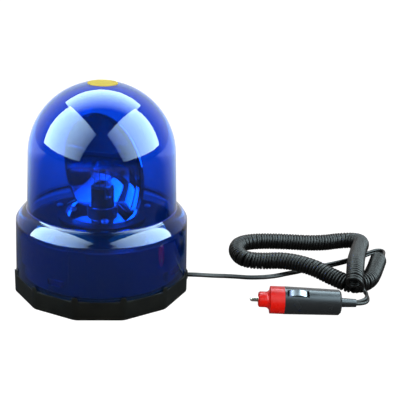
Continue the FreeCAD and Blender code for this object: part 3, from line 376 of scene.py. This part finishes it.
# ---- rubber boot and grommet ----
# A twelve-sided foot of soft black rubber, moulded in one piece and stretched over the base pan.  Its top
# edge is cut round for the lens, so that only the corners stand up past the lens rim.
BOOT_SIDES = 12
BOOT_FLAT_R = 70.0 * MM * math.cos(math.pi / BOOT_SIDES)
BOOT_TOP = 18.6 * MM
BOOT_SEAT = 15.0 * MM
BOOT_FLOOR = 3.0 * MM
BOOT_POCKET_R = 69.2 * MM
BOOT_BORE_R = 62.0 * MM
BOOT_HOLE_R = 32.6 * MM
BOOT_LIP = 0.5 * MM
BOOT_STEP_DEG = 0.75
CORNER_DRAWN_IN = 0.35 * MM
CORNER_REACH = 0.012                       # radians either side of a corner
CORNER_RISE = (0.1 * MM, 0.4 * MM)         # the top edge rises this far outside the pocket
FOOT_ROUND = ((1.1 * MM, 0.0), (0.45 * MM, 0.12 * MM), (0.1 * MM, 0.5 * MM), (0.0, 1.1 * MM))  # in, up
TOP_ROUND = ((0.0, 0.45 * MM), (0.13 * MM, 0.12 * MM), (0.4 * MM, 0.0))                        # in, down
LOOSE_WITHIN = 0.002 * MM                  # corners of a CAD node's triangles that are one point
SHARP_EDGE = 0.5                           # radians between the faces of an edge that stays sharp


def boot_points():
    """Rows of rings (R(t), z(t)): R is the twelve-sided outline flat / cos(t'), t' measured from the middle
    of a side, drawn in at the corners, and the top edge rises from the seat where R passes the pocket."""
    turn = np.radians(np.arange(0.0, 360.0, BOOT_STEP_DEG))
    half_side = math.pi / BOOT_SIDES
    off = (turn + half_side) % (2 * math.pi / BOOT_SIDES) - half_side
    out = BOOT_FLAT_R / np.cos(off)
    out -= CORNER_DRAWN_IN * hump(np.abs(off), half_side, CORNER_REACH)
    up = ease(out, BOOT_POCKET_R + CORNER_RISE[0], BOOT_POCKET_R + CORNER_RISE[1])
    top = BOOT_SEAT + (BOOT_TOP - BOOT_SEAT) * up
    inner = np.minimum(out - BOOT_LIP, BOOT_POCKET_R)
    rows = [(BOOT_HOLE_R, 0.0)]
    rows += [(out - inward, upward) for inward, upward in FOOT_ROUND]
    rows += [(out - inward, top - downward) for inward, downward in TOP_ROUND]
    rows += [(inner, top), (inner, BOOT_SEAT), (BOOT_BORE_R, BOOT_SEAT), (BOOT_BORE_R, BOOT_FLOOR),
             (BOOT_HOLE_R, BOOT_FLOOR)]
    radius = np.array([r + 0 * turn for r, _ in rows])
    height = np.array([z + 0 * turn for _, z in rows])
    return np.stack([radius * np.cos(turn), radius * np.sin(turn), height], axis=-1)


def dress(finish, *names):
    """CAD nodes take a finish.  Their loose triangles are welded, so that they shade as one skin with its
    edges kept sharp."""
    for name in names:
        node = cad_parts[name]
        node.data.materials.clear()
        node.data.materials.append(finish.material)
        node.data.polygons.foreach_set("use_smooth", np.ones(len(node.data.polygons), bool))
        weld = node.modifiers.new("weld", "WELD")
        weld.merge_threshold = LOOSE_WITHIN
        split = node.modifiers.new("edges", "EDGE_SPLIT")
        split.split_angle = SHARP_EDGE


rubber = Finish("rubber", Specular_IOR_Level=0.12)
rubber.vary("Base Color", rubber.ramp(rubber.noise(60.0), (0.3, (0.004, 0.004, 0.003)),
                                      (0.7, (0.009, 0.009, 0.007))))
rubber.vary("Roughness", 0.42 + 0.22 * rubber.noise(35.0))
rubber.bump(rubber.noise(1400.0, 5.0), 0.00008, 0.6)
boot_rings = boot_points()
boot_faces = grid_quads(*boot_rings.shape[:2], True).tolist()
boot = make_piece("boot", boot_rings, boot_faces, rubber, "base", crease=0.35)
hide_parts("rubber_boot")
dress(rubber, "lens_seal", "lead_grommet")


# ---- magnet ----
# A ferrite ring in a pressed, zinc-plated steel cup under the base holds the beacon to a roof.  One screw
# fixes the cup to the pan.  The motor's two magnets are of the same ferrite.
zinc = Finish("zinc_steel", Base_Color=(0.55, 0.56, 0.58, 1.0), Metallic=1.0)
zinc.vary("Roughness", 0.22 + 0.22 * zinc.noise(120.0, 4.0))
zinc.bump(zinc.noise(700.0, 3.0, (1.0, 1.0, 8.0)), 0.00003, 0.5)
dress(zinc, "magnet_cup", "magnet_screw")
ferrite = Finish("ferrite", Roughness=0.6)
ferrite.vary("Base Color", ferrite.ramp(ferrite.noise(400.0, 5.0), (0.3, (0.035, 0.035, 0.04)),
                                        (0.7, (0.07, 0.07, 0.075))))
dress(ferrite, "ring_magnet", "motor_magnets")


# ---- housing and deck ----
# Injection-moulded black plastic for the deck plate, which is screwed on top of the pan's posts.  The pan
# with its neck is painted a paler, bluish charcoal that stands in for light glowing through the blue skirt
# in front of it.  The lamp post, the turntable and the motor's end cap are black too.
moulded_black = Finish("moulded_black", Base_Color=(0.012, 0.012, 0.014, 1.0))
moulded_black.vary("Roughness", 0.26 + 0.16 * moulded_black.noise(80.0))
moulded_black.bump(moulded_black.noise(1800.0, 4.0), 0.00004, 0.5)
dress(moulded_black, "deck_plate", "lamp_post", "turntable_gear", "motor_end_cap")
# The pan's black is painted paler and a little blue: a painted glow of light seen through the lens skirt.
pan_painted_paler = Finish("pan_painted_paler", Base_Color=(0.10, 0.10, 0.13, 1.0))
pan_painted_paler.vary("Roughness", 0.34 + 0.16 * pan_painted_paler.noise(80.0))
pan_painted_paler.bump(pan_painted_paler.noise(1800.0, 4.0), 0.00004, 0.5)
dress(pan_painted_paler, "base_housing")
dress(zinc, "deck_screws", "post_screws")


# ---- wiring block, washers and gears ----
# Natural white acetal, moulded: the terminal block, the turntable's washer, the idler and motor pinion.
# The lamp's cap, the contacts and the terminal screws are nickel-plated brass; clips and springs are steel.
acetal = Finish("white_acetal", Base_Color=(0.75, 0.75, 0.70, 1.0))
acetal.vary("Roughness", 0.32 + 0.16 * acetal.noise(120.0))
acetal.bump(acetal.noise(900.0), 0.00004, 0.4)
dress(acetal, "thrust_washer", "idler_gear", "motor_pinion", "terminal_block")
nickel = Finish("nickel_brass", Base_Color=(0.72, 0.66, 0.52, 1.0), Metallic=1.0)
nickel.vary("Roughness", 0.12 + 0.2 * nickel.noise(260.0))
dress(nickel, "lamp_cap", "centre_contact", "terminal_screws", "fuse_caps", "plug_tip")
bright_steel = Finish("bright_steel", Base_Color=(0.6, 0.61, 0.62, 1.0), Metallic=1.0)
bright_steel.vary("Roughness", 0.1 + 0.14 * bright_steel.noise(300.0))
dress(bright_steel, "ring_clip", "idler_clip", "contact_spring", "plug_spring")
dress(zinc, "idler_axle", "reflector_screws")


# ---- motor ----
# A small can motor under the deck: steel can, laminated armature, copper commutator and carbon brushes.
# Screws hold it to the deck, and its pinion drives the idler.
dress(zinc, "motor_can", "motor_shaft", "motor_screws", "motor_armature")
copper = Finish("copper", Base_Color=(0.75, 0.38, 0.22, 1.0), Metallic=1.0)
copper.vary("Roughness", 0.18 + 0.2 * copper.noise(300.0))
dress(copper, "motor_terminals", "commutator")
carbon = Finish("carbon", Roughness=0.6)
carbon.vary("Base Color", carbon.ramp(carbon.noise(900.0, 4.0), (0.35, (0.02, 0.02, 0.02)),
                                      (0.65, (0.05, 0.05, 0.05))))
dress(carbon, "motor_brushes")


# ---- lamp ----
# A bayonet lamp in the post: clear blown glass, tungsten filament, and a fibre disc that insulates the
# sprung contact.
fibre = Finish("fibre_board", Roughness=0.7)
fibre.vary("Base Color", fibre.ramp(fibre.noise(500.0, 5.0, (1.0, 1.0, 0.1)), (0.3, (0.22, 0.12, 0.05)),
                                    (0.7, (0.36, 0.21, 0.1))))
dress(fibre, "contact_disc")
clear_glass = Finish("clear_glass", Base_Color=(0.9, 0.93, 0.95, 1.0), Transmission_Weight=1.0, IOR=1.5)
clear_glass.vary("Roughness", 0.01 + 0.02 * clear_glass.noise(90.0))
dress(clear_glass, "lamp_glass", "fuse_glass")
tungsten = Finish("tungsten", Base_Color=(0.3, 0.29, 0.28, 1.0), Metallic=1.0)
tungsten.vary("Roughness", 0.3 + 0.2 * tungsten.noise(2000.0))
dress(tungsten, "lamp_filament")


# ---- reflector ----
# A half bowl of moulded plastic, plated like a mirror inside and out.  Two screws hold it on the turntable,
# which carries it round the lamp.
mirror = Finish("mirror_reflector", Base_Color=(0.92, 0.93, 0.95, 1.0), Metallic=1.0)
mirror.vary("Roughness", 0.03 + 0.05 * mirror.noise(40.0))
mirror.bump(mirror.noise(60.0, 2.0), 0.0004, 0.25)
dress(mirror, "reflector")


# ---- lens ----
# One clear blue moulding in polycarbonate: an upright skirt, a sloping shoulder and a tall domed bell.
# Four lugs inside the skirt hook under the drum's lip when it is twisted.  Places in the outline are
# (radius, height).
LENS_WALL = 2.4 * MM
LENS_FOOT_Z = 15.3 * MM
RIM_R = 67.95 * MM
SKIRT_LOW = (67.9 * MM, LENS_FOOT_Z + 1.0 * MM)
SKIRT_INSIDE_R = 67.5 * MM - LENS_WALL
SHOULDER_LOW = (67.0 * MM, 57.4 * MM)
SHOULDER_HIGH = (60.0 * MM, 65.3 * MM)
SHOULDER_BULGE = 0.55 * MM
SHOULDER_INSIDE_DROP = 1.4 * MM
EDGE_ROUND = 0.45 * MM         # how much of skirt and of shoulder the edge between them takes
EDGE_IN = 0.13 * MM
EDGE_UP = 0.1 * MM
DOME_CENTRE_Z = 107.9 * MM
DOME_R = 56.7 * MM
DOME_FOOT_R = 58.2 * MM
DOME_FOOT_Z = 66.9 * MM
FILLET_LOW = (SHOULDER_HIGH[0] - 0.5 * MM, SHOULDER_HIGH[1] + 0.25 * MM)
FILLET_HIGH = (DOME_FOOT_R, DOME_FOOT_Z + 0.6 * MM)
FILLET_HOLLOW = 0.32 * MM
BELL_LOW = (DOME_FOOT_R - 0.05 * MM, DOME_FOOT_Z + 1.4 * MM)
SHOULDER_ROWS = 14
BELL_ROWS = 10
DOME_ROWS = 44
SIDE_ROWS = 8                  # of every other stretch of the outline
LENS_COLUMNS = 192
LUG_TURNS_DEG = (-30.0, 60.0, 150.0, 240.0)
LUG_RADII = (62.0 * MM, 65.3 * MM)
LUG_HEIGHTS = (23.7 * MM, 27.7 * MM)
LUG_HALF_W = 6.0 * MM


def bowed(start, end, bulge, count):
    """Points from start to end, bowed to the right of the way by bulge * (1 - (2t - 1)^2)."""
    t = np.linspace(0.0, 1.0, count)[:, None]
    start, end = np.array(start), np.array(end)
    way = (end - start) / np.linalg.norm(end - start)
    return start + t * (end - start) + bulge * (1 - (2 * t - 1) ** 2) * np.array((way[1], -way[0]))


def arched(radius, up):
    """Points of the dome's arch: (radius cos up, centre + radius sin up)."""
    return np.stack([radius * np.cos(up), DOME_CENTRE_Z + radius * np.sin(up)], axis=1)


def lens_outline():
    """Outside of the lens from its rim to the pole, then the inside back to the foot: nearly the same line
    moved in by the wall."""
    up = np.linspace(0.0, math.pi / 2, DOME_ROWS)[1:]
    edge_low = (SHOULDER_LOW[0], SHOULDER_LOW[1] - EDGE_ROUND)
    edge_middle = (SHOULDER_LOW[0] - EDGE_IN, SHOULDER_LOW[1] + EDGE_UP)
    edge_high = (SHOULDER_LOW[0] - EDGE_ROUND, SHOULDER_LOW[1] + EDGE_ROUND)
    outside = [[(RIM_R, LENS_FOOT_Z)],
               bowed(SKIRT_LOW, edge_low, 0.0, SIDE_ROWS),
               [edge_middle],
               bowed(edge_high, SHOULDER_HIGH, SHOULDER_BULGE, SHOULDER_ROWS),
               bowed(FILLET_LOW, FILLET_HIGH, -FILLET_HOLLOW, SIDE_ROWS),
               bowed(BELL_LOW, (DOME_R, DOME_CENTRE_Z), 0.0, BELL_ROWS),
               arched(DOME_R, up)]
    inner_dome_r = DOME_R - LENS_WALL
    inner_dome_foot = (DOME_FOOT_R - LENS_WALL, DOME_FOOT_Z)
    inner_shoulder = (SHOULDER_LOW[0] - LENS_WALL, SHOULDER_LOW[1] - SHOULDER_INSIDE_DROP)
    inner_foot = (SKIRT_INSIDE_R, LENS_FOOT_Z)
    inside = [arched(inner_dome_r, up[::-1]),
              bowed((inner_dome_r, DOME_CENTRE_Z), inner_dome_foot, 0.0, SIDE_ROWS),
              bowed(inner_dome_foot, inner_shoulder, 0.0, SIDE_ROWS)[1:],
              bowed(inner_shoulder, inner_foot, 0.0, SIDE_ROWS)[1:]]
    return np.concatenate(outside + inside)


def turned_rings(outline, count):
    """Points (r cos t, r sin t, z) of an outline turned about the upright axis."""
    turn = 2 * math.pi * np.arange(count) / count
    radius, height = outline[:, :1], outline[:, 1:]
    return np.stack([radius * np.cos(turn), radius * np.sin(turn), height + 0 * turn], axis=-1)


def lug_points(degrees):
    """Eight corners of a hook that stands in from the skirt's wall: (r, a, z) turned by t about the upright
    axis goes to (r cos t - a sin t, r sin t + a cos t, z)."""
    r, a, z = np.meshgrid(LUG_RADII, (-LUG_HALF_W, LUG_HALF_W), LUG_HEIGHTS, indexing="ij")
    cosine = math.cos(math.radians(degrees))
    sine = math.sin(math.radians(degrees))
    return np.stack([r * cosine - a * sine, r * sine + a * cosine, z], axis=-1).reshape(-1, 3)


blue_lens = Finish("blue_lens", Base_Color=(0.012, 0.165, 0.62, 1.0), Transmission_Weight=0.97, IOR=1.52)
blue_lens.vary("Roughness", 0.012 + 0.016 * blue_lens.noise(45.0))
lens_rings = turned_rings(lens_outline(), LENS_COLUMNS)
bell_faces = grid_quads(*lens_rings.shape[:2], True)
lug_faces = np.array([(0, 1, 3, 2), (4, 6, 7, 5), (0, 4, 5, 1), (2, 3, 7, 6), (0, 2, 6, 4), (1, 5, 7, 3)])
lug_starts = lens_rings[..., 0].size + 8 * np.arange(len(LUG_TURNS_DEG))
lens_points = np.concatenate([lens_rings.reshape(-1, 3)] + [lug_points(turn) for turn in LUG_TURNS_DEG])
lens_faces = np.concatenate([bell_faces] + [start + lug_faces for start in lug_starts]).tolist()
lens = make_piece("lens_bell", lens_points, lens_faces, blue_lens, "lens", crease=0.55)
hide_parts("signal_lens")


# ---- sticker ----
# A thin round yellow label, left without print, that follows the top of the bell.  It is plastic film with
# glue on its back, pressed on by hand.
yellow_label = Finish("yellow_label", Specular_IOR_Level=0.15)
yellow_label.vary("Base Color", yellow_label.ramp(yellow_label.noise(180.0, 4.0), (0.35, (0.98, 0.70, 0.02)),
                                                  (0.65, (1.0, 0.80, 0.04))))
yellow_label.vary("Roughness", 0.45 + 0.2 * yellow_label.noise(90.0))
dress(yellow_label, "dome_sticker")


# ---- plug ----
# A car lighter plug: black moulded shell, red threaded nose that holds the fuse, nickel tip on a spring
# and two bent steel side contacts.
red_plastic = Finish("red_plastic", Base_Color=(0.92, 0.010, 0.003, 1.0), Specular_IOR_Level=0.3)
red_plastic.vary("Roughness", 0.2 + 0.16 * red_plastic.noise(150.0))
red_plastic.bump(red_plastic.noise(1200.0, 3.0), 0.00004, 0.5)
dress(red_plastic, "plug_nose")
dark_plastic = Finish("dark_plastic", Base_Color=(0.018, 0.021, 0.023, 1.0))
dark_plastic.vary("Roughness", 0.2 + 0.12 * dark_plastic.noise(120.0))
dark_plastic.bump(dark_plastic.noise(1600.0, 3.0), 0.00004, 0.5)
dress(dark_plastic, "plug_shell", "plug_strain_relief")
contact_steel = Finish("contact_steel", Base_Color=(0.16, 0.16, 0.165, 1.0), Metallic=1.0)
contact_steel.vary("Roughness", 0.24 + 0.16 * contact_steel.noise(300.0))
dress(contact_steel, "upper_side_contact", "lower_side_contact")


# ---- floor, world and lamps ----
# White table that keeps a faint shadow, pale surroundings behind the object and dark ones in front.  Soft
# boxes stand left, right and above, each a pair of lamps: one is seen in gloss and glass alone, the other
# lights colour alone.  A fourth, in front, only lights colour.
FLOOR_HALF = 6.0
TABLE_GREY = 0.22
TABLE_BEHIND = (0.06, 0.4)     # metres back over which the table's mirror image goes from dark to white
SKY_BEHIND = (0.1, 0.75)       # how far back a direction points, for the same in the world
SKY_IN_FRONT = 0.05
PURE_WHITE = (1.0, 1.0, 1.0, 1.0)
floor_corners = [(-FLOOR_HALF, -FLOOR_HALF, 0), (FLOOR_HALF, -FLOOR_HALF, 0),
                 (FLOOR_HALF, FLOOR_HALF, 0), (-FLOOR_HALF, FLOOR_HALF, 0)]
floor_data = bpy.data.meshes.new("floor")
floor_data.from_pydata(floor_corners, [], [(0, 1, 2, 3)])
floor = bpy.data.objects.new("floor", floor_data)
bpy.context.scene.collection.objects.link(floor)
table = Finish("white_table", Base_Color=(TABLE_GREY, TABLE_GREY, TABLE_GREY, 1.0), Roughness=0.95,
               Specular_IOR_Level=0.0)
in_view = table.node("ShaderNodeLightPath", {}, {}, "Is Camera Ray")
in_gloss = table.node("ShaderNodeLightPath", {}, {}, "Is Glossy Ray")
in_glass = table.node("ShaderNodeLightPath", {}, {}, "Is Transmission Ray")
table_y = table.node("ShaderNodeSeparateXYZ", {}, {0: table.place()}, "Y")
table_back = table.node("ShaderNodeMapRange", {}, {"Value": table_y, "From Min": TABLE_BEHIND[0],
                                                   "From Max": TABLE_BEHIND[1]})
table_glow = table.node("ShaderNodeEmission", {}, {
    "Color": PURE_WHITE, "Strength": in_view + (in_gloss + in_glass) * table_back}, "Emission")
table_look = table.node("ShaderNodeAddShader", {}, {0: Wire(table, table.shader.outputs[0]), 1: table_glow})
table.feed(table.tree.nodes["Material Output"], "Surface", table_look)
floor_data.materials.append(table.material)

world = bpy.data.worlds.new("studio")
world.use_nodes = True
bpy.context.scene.world = world
sky = Nodes(world.node_tree)
sky_y = sky.node("ShaderNodeSeparateXYZ", {}, {0: sky.node("ShaderNodeTexCoord", {}, {}, "Generated")}, "Y")
sky_back = sky.node("ShaderNodeMapRange", {}, {"Value": sky_y, "From Min": SKY_BEHIND[0],
                                               "From Max": SKY_BEHIND[1], "To Min": SKY_IN_FRONT,
                                               "To Max": 1.0})
sky_seen = sky.node("ShaderNodeLightPath", {}, {}, "Is Camera Ray")
background = sky.tree.nodes["Background"]
sky.feed(background, "Color", PURE_WHITE)
sky.feed(background, "Strength", sky_seen + (1 - sky_seen) * sky_back)


def soft_box(name, place, radiance, colour, shines, fade=None):
    """Rectangular lamp that faces the bell from its place, given from the middle of the dome.  Its power is
    radiance * pi * width * height, and a fade runs its light from one share to another along X or Y."""
    centre, across, upward, width, height = place
    data = bpy.data.lights.new(name, "AREA")
    data.shape = "RECTANGLE"
    data.size = width
    data.size_y = height
    data.color = colour
    data.energy = radiance * math.pi * width * height
    if fade:
        side, start, end = fade
        data.use_nodes = True
        diffuser = Nodes(data.node_tree)
        spot = diffuser.node("ShaderNodeNewGeometry", {}, {}, "Parametric")
        share = diffuser.node("ShaderNodeSeparateXYZ", {}, {0: spot}, side)
        diffuser.feed(diffuser.tree.nodes["Emission"], "Strength", start + (end - start) * share)
    lamp = bpy.data.objects.new(name, data)
    bpy.context.scene.collection.objects.link(lamp)
    x = Vector(across).normalized()
    z = x.cross(Vector(upward).normalized()).normalized()
    if z.dot(Vector(centre)) < 0:
        x, z = -x, -z
    y = z.cross(x)
    turn = Matrix((x, y, z)).transposed().to_4x4()
    lamp.matrix_world = Matrix.Translation(Vector(centre) + Vector((0, 0, DOME_CENTRE_Z))) @ turn
    lamp.visible_camera = False
    lamp.visible_diffuse = not shines
    lamp.visible_glossy = shines
    lamp.visible_transmission = shines


# Each place is a centre, the ways across and up, a width and a height.
LEFT = ((-0.60, -0.29, 0.46), (-0.40, 0.915, 0.056), (0.5, 0.16, 0.82), 1.20, 0.84)
RIGHT = ((0.60, -0.29, 0.46), (0.40, 0.915, 0.056), (-0.5, 0.16, 0.82), 1.20, 0.84)
TOP = ((0.0, 0.33, 0.95), (1.0, 0.0, 0.0), (0.0, 0.95, -0.30), 1.5, 0.8)
FRONT = ((0.0, -1.2, 0.5), (1.0, 0.0, 0.0), (0.0, 0.4, 0.9), 1.4, 0.9)
PALE_BLUE = (0.66, 0.88, 1.0)
WHITE = (1.0, 1.0, 1.0)
soft_box("left_shine", LEFT, radiance=19.0, colour=PALE_BLUE, shines=True, fade=("X", 1.0, 0.1))
soft_box("right_shine", RIGHT, radiance=19.0, colour=PALE_BLUE, shines=True, fade=("X", 0.1, 1.0))
soft_box("top_shine", TOP, radiance=14.0, colour=PALE_BLUE, shines=True, fade=("Y", 0.0, 1.0))
soft_box("left_fill", LEFT, radiance=0.9, colour=WHITE, shines=False)
soft_box("right_fill", RIGHT, radiance=0.9, colour=WHITE, shines=False)
soft_box("top_fill", TOP, radiance=2.2, colour=WHITE, shines=False)
soft_box("front_fill", FRONT, radiance=3.4, colour=WHITE, shines=False)
